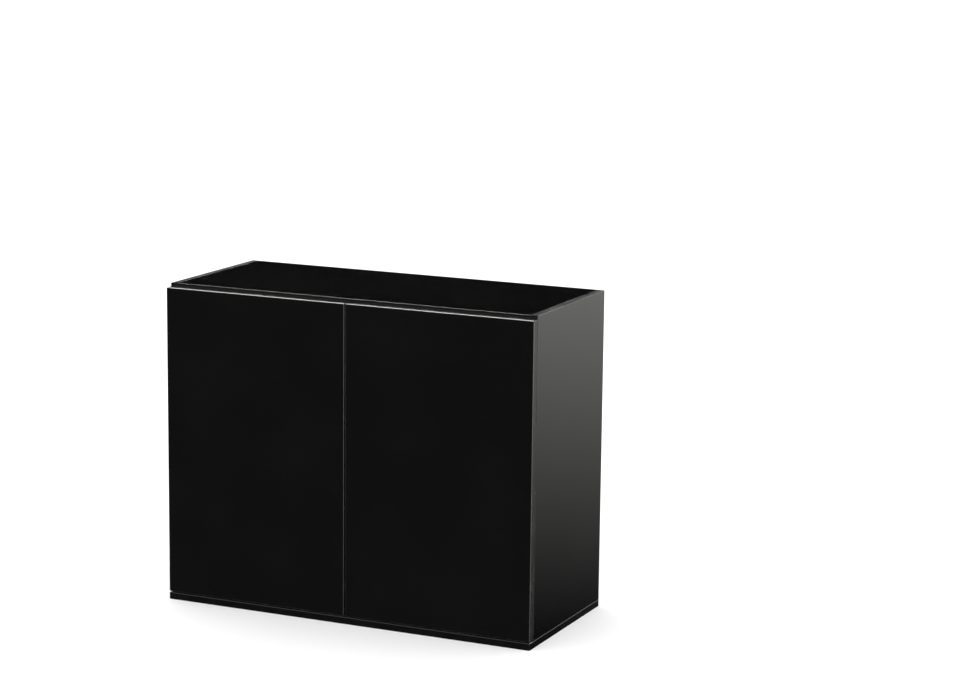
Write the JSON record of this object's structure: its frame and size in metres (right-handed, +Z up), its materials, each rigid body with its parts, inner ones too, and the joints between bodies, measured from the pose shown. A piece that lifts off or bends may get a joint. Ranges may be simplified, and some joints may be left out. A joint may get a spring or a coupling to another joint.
{
  "type": "aquarium stand cabinet",
  "caption": "Low black cabinet that carries an aquarium: board carcass with open back, centre partition and shelves, and full-overlay push-to-open doors on concealed hinges.",
  "frame": {"origin": "middle of the underside, on the floor", "axes": "+Z up, +X to the right seen from the front, +Y to the back; the doors face -Y"},
  "size_m": [0.9, 0.39, 0.73],
  "materials": {
    "black_board": "black laminate on chipboard, satin to gloss",
    "gloss_door": "high-gloss black lacquered board",
    "black_band": "glossy black edge band",
    "nickel_steel": "nickel-plated pressed steel",
    "zinc_metal": "zinc die-casting",
    "steel_screw": "zinc-plated steel",
    "spring_steel": "spring wire",
    "bare_beech": "bare beech",
    "black_plastic": "black moulded plastic",
    "grey_plastic": "dark grey moulded plastic",
    "magnet_metal": "nickel-plated magnet",
    "grey_rubber": "translucent grey elastomer"
  },
  "bodies": {
    "carcass": {"base_panel": "black_board", "base_edge_bands": "black_band", "left_side_panel": "black_board", "right_side_panel": "black_board", "side_edge_bands": "black_band", "top_panel": "black_board", "top_edge_band": "black_band", "centre_partition": "black_board", "partition_edge_band": "black_band", "shelf_edge_bands": "black_band", "shelf_pins": "zinc_metal", "base_screws": "steel_screw", "wood_dowels": "bare_beech", "cam_discs": "zinc_metal", "cam_bolts": "zinc_metal", "cam_cover_caps": "black_plastic", "latch_screws": "steel_screw", "latch_springs": "spring_steel", "left_rear_top_rail": "black_board", "left_rear_bottom_rail": "black_board", "left_shelf": "black_board", "left_hinge_arms": "nickel_steel", "left_hinge_arm_pins": "steel_screw", "left_hinge_plates": "nickel_steel", "left_hinge_plate_screws": "steel_screw", "left_latch_housing": "grey_plastic", "right_rear_top_rail": "black_board", "right_rear_bottom_rail": "black_board", "right_shelf": "black_board", "right_hinge_arms": "nickel_steel", "right_hinge_arm_pins": "steel_screw", "right_hinge_plates": "nickel_steel", "right_hinge_plate_screws": "steel_screw", "right_latch_housing": "grey_plastic"},
    "left_main_links": {"left_hinge_main_links": "nickel_steel"},
    "left_door_leaf": {"left_door": "gloss_door", "left_door_edge_bands": "black_band", "left_door_bumpers": "grey_rubber", "left_strike_plate": "nickel_steel", "left_strike_screws": "steel_screw", "left_hinge_cups": "nickel_steel", "left_hinge_cup_pins": "steel_screw", "left_hinge_cup_screws": "steel_screw"},
    "left_second_links": {"left_hinge_second_links": "nickel_steel"},
    "left_plunger": {"left_latch_plunger": "grey_plastic", "left_latch_magnet": "magnet_metal"},
    "right_main_links": {"right_hinge_main_links": "nickel_steel"},
    "right_door_leaf": {"right_door": "gloss_door", "right_door_edge_bands": "black_band", "right_door_bumpers": "grey_rubber", "right_strike_plate": "nickel_steel", "right_strike_screws": "steel_screw", "right_hinge_cups": "nickel_steel", "right_hinge_cup_pins": "steel_screw", "right_hinge_cup_screws": "steel_screw"},
    "right_second_links": {"right_hinge_second_links": "nickel_steel"},
    "right_plunger": {"right_latch_plunger": "grey_plastic", "right_latch_magnet": "magnet_metal"}
  },
  "joints": [
    {"name": "left_arm_pivot", "type": "hinge", "parent": "carcass", "child": "left_main_links", "pos_m": [-0.42508, -0.18066, 0.37025], "axis": [0, 0, -1], "range_deg": [-52, 0]},
    {"name": "left_door_swing", "type": "hinge", "parent": "left_main_links", "child": "left_door_leaf", "pos_m": [-0.44017, -0.18209, 0.37025], "axis": [0, 0, -1], "range_deg": [0, 149.94]},
    {"name": "left_second_link_pivot", "type": "hinge", "parent": "carcass", "child": "left_second_links", "pos_m": [-0.41307, -0.16077, 0.37025], "axis": [0, 0, -1], "range_deg": [-31.6, 0]},
    {"name": "left_latch_slide", "type": "slide", "parent": "carcass", "child": "left_plunger", "axis": [0, -1, 0], "range_m": [0, 0.014]},
    {"name": "right_arm_pivot", "type": "hinge", "parent": "carcass", "child": "right_main_links", "pos_m": [0.42508, -0.18066, 0.37025], "axis": [0, 0, 1], "range_deg": [-52, 0]},
    {"name": "right_door_swing", "type": "hinge", "parent": "right_main_links", "child": "right_door_leaf", "pos_m": [0.44017, -0.18209, 0.37025], "axis": [0, 0, 1], "range_deg": [0, 149.94]},
    {"name": "right_second_link_pivot", "type": "hinge", "parent": "carcass", "child": "right_second_links", "pos_m": [0.41307, -0.16077, 0.37025], "axis": [0, 0, 1], "range_deg": [-31.6, 0]},
    {"name": "right_latch_slide", "type": "slide", "parent": "carcass", "child": "right_plunger", "axis": [0, -1, 0], "range_m": [0, 0.014]}
  ],
  "couplings": [
    {"joint": "left_arm_pivot", "follows": "left_door_swing", "ratio": -0.34641},
    {"joint": "left_second_link_pivot", "follows": "left_door_swing", "ratio": -0.21046},
    {"joint": "left_latch_slide", "follows": "left_door_swing", "m_per_rad": 0.00534},
    {"joint": "right_arm_pivot", "follows": "right_door_swing", "ratio": -0.34641},
    {"joint": "right_second_link_pivot", "follows": "right_door_swing", "ratio": -0.21046},
    {"joint": "right_latch_slide", "follows": "right_door_swing", "m_per_rad": 0.00534}
  ]
}
